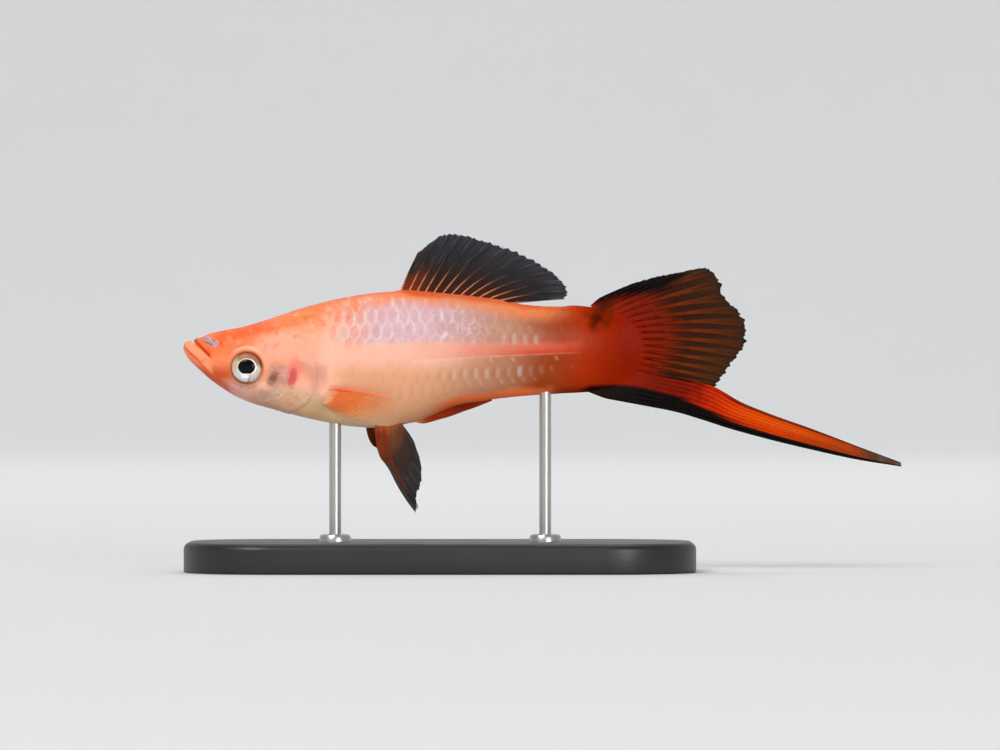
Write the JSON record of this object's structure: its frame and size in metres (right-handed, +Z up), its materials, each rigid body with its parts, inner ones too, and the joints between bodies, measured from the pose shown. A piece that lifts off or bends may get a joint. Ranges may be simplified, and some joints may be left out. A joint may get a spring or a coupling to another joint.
{
  "type": "swordtail fish",
  "caption": "Life-size still model of an adult male swordtail, fins spread and lower tail lobe drawn out into a long sword, held level above a flat base by two short rods.",
  "frame": {"origin": "middle of the base's flat underside", "axes": "+X towards the fish's tail, -Y towards its left side, +Z up"},
  "size_m": [0.096, 0.034, 0.0452],
  "materials": {
    "head_skin": "smooth wet-looking skin, orange above and silvery peach on the cheek",
    "body_skin": "satin scales, pale peach-pink with a red-orange stripe along the side",
    "tail_skin": "satin scales, deep orange-red",
    "eye": "glossy, silver iris round a black pupil",
    "dark_fin": "thin smoky membrane between brown-orange rays",
    "tail_fin": "thin orange-red membrane with darker rays and a black lower edge",
    "clear_fin": "thin clear orange-tinted membrane",
    "stand_base": "satin black",
    "stand_rod": "satin steel"
  },
  "bodies": {
    "root": {"head": "head_skin", "lower_jaw": "head_skin", "gill_cover_left": "head_skin", "gill_cover_right": "head_skin", "eye_left": "eye", "eye_right": "eye", "trunk": "body_skin", "tail_stalk": "tail_skin", "dorsal_fin": "dark_fin", "tail_fan": "tail_fin", "tail_sword": "tail_fin", "pectoral_fin_left": "clear_fin", "pectoral_fin_right": "clear_fin", "pelvic_fin_left": "dark_fin", "pelvic_fin_right": "dark_fin", "gonopodium": "tail_fin", "stand_base": "stand_base", "stand_rod_front": "stand_rod", "stand_rod_rear": "stand_rod"}
  },
  "joints": []
}
